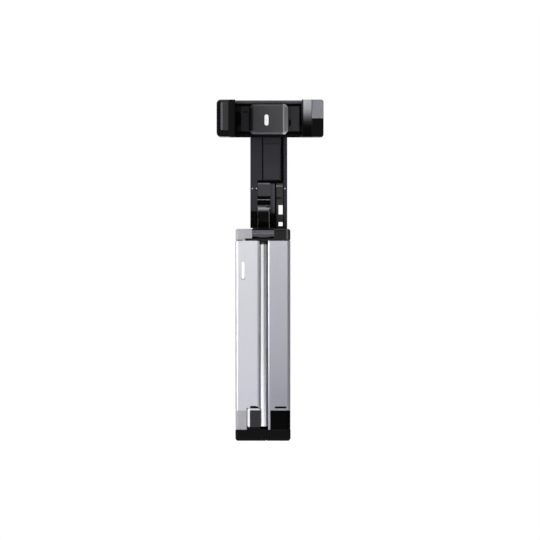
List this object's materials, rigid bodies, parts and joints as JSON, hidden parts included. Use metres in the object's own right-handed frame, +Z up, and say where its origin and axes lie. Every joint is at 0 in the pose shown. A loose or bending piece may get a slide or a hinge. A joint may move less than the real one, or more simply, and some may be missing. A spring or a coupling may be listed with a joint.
{
  "type": "selfie stick",
  "caption": "Pocket selfie stick: telescoping pole between fold-out legs, with a folding arm and a spring clamp that grips a phone.",
  "frame": {"origin": "centre of the closed body's base, on the surface it stands on", "axes": "+Z up along the pole, +X to the right seen from the front, -Y towards the front where the phone's back rests"},
  "size_m": [0.0692, 0.0346, 0.221],
  "materials": {
    "leg_aluminium": "satin anodised",
    "silver_moulding": "satin silver-grey",
    "black_moulding": "fine matt moulded",
    "gloss_black": "gloss moulded",
    "chrome_tube": "polished",
    "steel_pin": "bright turned",
    "arm_grey": "fine matt moulded",
    "rest_rubber": "soft-touch matt",
    "white_inlay": "semi-gloss white",
    "nylon_gear": "natural nylon",
    "slide_grey": "matt moulded",
    "pad_rubber": "satin silicone",
    "tip_rubber": "matt silicone",
    "foot_rubber": "matt rubber",
    "board": "solder-masked board",
    "battery_wrap": "foil pouch"
  },
  "bodies": {
    "core": {"hub": "black_moulding", "leg_pins": "steel_pin", "tube_1": "chrome_tube", "tube_1_bush": "black_moulding", "pole_bottom_plug": "black_moulding"},
    "section_2": {"tube_2": "chrome_tube", "tube_2_bush": "black_moulding", "tube_2_guide": "black_moulding"},
    "section_3": {"tube_3": "chrome_tube", "tube_3_bush": "black_moulding", "tube_3_guide": "black_moulding"},
    "section_4": {"tube_4": "chrome_tube", "tube_4_bush": "black_moulding", "tube_4_guide": "black_moulding"},
    "head": {"tube_5": "chrome_tube", "tube_5_guide": "black_moulding", "tube_top_plug": "black_moulding", "head_base": "gloss_black", "head_side_cap": "silver_moulding", "fold_pin": "steel_pin", "fold_washers": "steel_pin"},
    "neck": {"neck_link": "black_moulding"},
    "arm": {"arm_body": "arm_grey", "arm_panel": "arm_grey", "tilt_stop_block": "arm_grey", "tilt_bracket": "arm_grey", "slotted_strut": "arm_grey", "arm_pins": "steel_pin", "tilt_washers": "steel_pin"},
    "clamp": {"clamp_tray": "black_moulding", "phone_rest": "rest_rubber", "phone_rest_inlay": "white_inlay", "swivel_washer": "steel_pin", "swivel_screw": "steel_pin"},
    "drive": {"pinion": "nylon_gear", "spring_drum": "nylon_gear"},
    "left_jaw": {"left_slide": "slide_grey", "left_jaw_shell": "gloss_black", "left_jaw_pad": "pad_rubber", "left_jaw_tip": "tip_rubber"},
    "right_jaw": {"right_slide": "slide_grey", "right_jaw_shell": "gloss_black", "right_jaw_pad": "pad_rubber"},
    "left_leg": {"left_leg_shell": "leg_aluminium", "left_leg_core": "black_moulding", "left_leg_end": "silver_moulding", "left_grip_block": "arm_grey", "left_foot": "foot_rubber", "remote_board": "board", "remote_battery": "battery_wrap", "remote_switch": "black_moulding"},
    "button": {"shutter_button": "white_inlay"},
    "right_leg": {"right_leg_shell": "leg_aluminium", "right_leg_core": "black_moulding", "right_leg_end": "gloss_black", "right_foot": "foot_rubber"},
    "rear_leg": {"rear_leg_shell": "leg_aluminium", "rear_leg_core": "black_moulding", "rear_foot": "foot_rubber"}
  },
  "joints": [
    {"name": "pole_section_2", "type": "slide", "parent": "core", "child": "section_2", "axis": [0, 0, 1], "range_m": [0, 0.1]},
    {"name": "pole_section_3", "type": "slide", "parent": "section_2", "child": "section_3", "axis": [0, 0, 1], "range_m": [0, 0.1]},
    {"name": "pole_section_4", "type": "slide", "parent": "section_3", "child": "section_4", "axis": [0, 0, 1], "range_m": [0, 0.1]},
    {"name": "pole_section_5", "type": "slide", "parent": "section_4", "child": "head", "axis": [0, 0, 1], "range_m": [0, 0.1]},
    {"name": "head_fold", "type": "hinge", "parent": "head", "child": "neck", "pos_m": [0, -0.0088, 0.1343], "axis": [1, 0, 0], "range_deg": [0, 180]},
    {"name": "arm_tilt", "type": "hinge", "parent": "neck", "child": "arm", "pos_m": [0.00375, 0.0062, 0.1515], "axis": [-1, 0, 0], "range_deg": [0, 60]},
    {"name": "clamp_swivel", "type": "hinge", "parent": "arm", "child": "clamp", "pos_m": [0.00375, 0.0062, 0.209], "axis": [0, 1, 0], "range_deg": [-90, 0]},
    {"name": "left_jaw_slide", "type": "slide", "parent": "clamp", "child": "left_jaw", "axis": [-1, 0, 0], "range_m": [0, 0.018], "stiffness_N_per_m": 150, "springref_m": -0.01},
    {"name": "right_jaw_slide", "type": "slide", "parent": "clamp", "child": "right_jaw", "axis": [1, 0, 0], "range_m": [0, 0.018]},
    {"name": "pinion_turn", "type": "hinge", "parent": "clamp", "child": "drive", "pos_m": [0.00375, 0.0008, 0.209], "axis": [0, 1, 0], "range_deg": [-246, 0]},
    {"name": "left_leg_fold", "type": "hinge", "parent": "core", "child": "left_leg", "pos_m": [-0.0146, 0, 0.1217], "axis": [0, 1, 0], "range_deg": [0, 20]},
    {"name": "right_leg_fold", "type": "hinge", "parent": "core", "child": "right_leg", "pos_m": [0.0146, 0, 0.1217], "axis": [0, -1, 0], "range_deg": [0, 20]},
    {"name": "rear_leg_fold", "type": "hinge", "parent": "core", "child": "rear_leg", "pos_m": [0, 0.00885, 0.1217], "axis": [1, 0, 0], "range_deg": [0, 12]},
    {"name": "shutter_press", "type": "slide", "parent": "left_leg", "child": "button", "axis": [0, 1, 0], "range_m": [0, 0.0005], "stiffness_N_per_m": 400, "springref_m": -0.0004}
  ],
  "couplings": [
    {"joint": "right_jaw_slide", "follows": "left_jaw_slide", "ratio": 1},
    {"joint": "pinion_turn", "follows": "left_jaw_slide", "rad_per_m": -238.1}
  ]
}
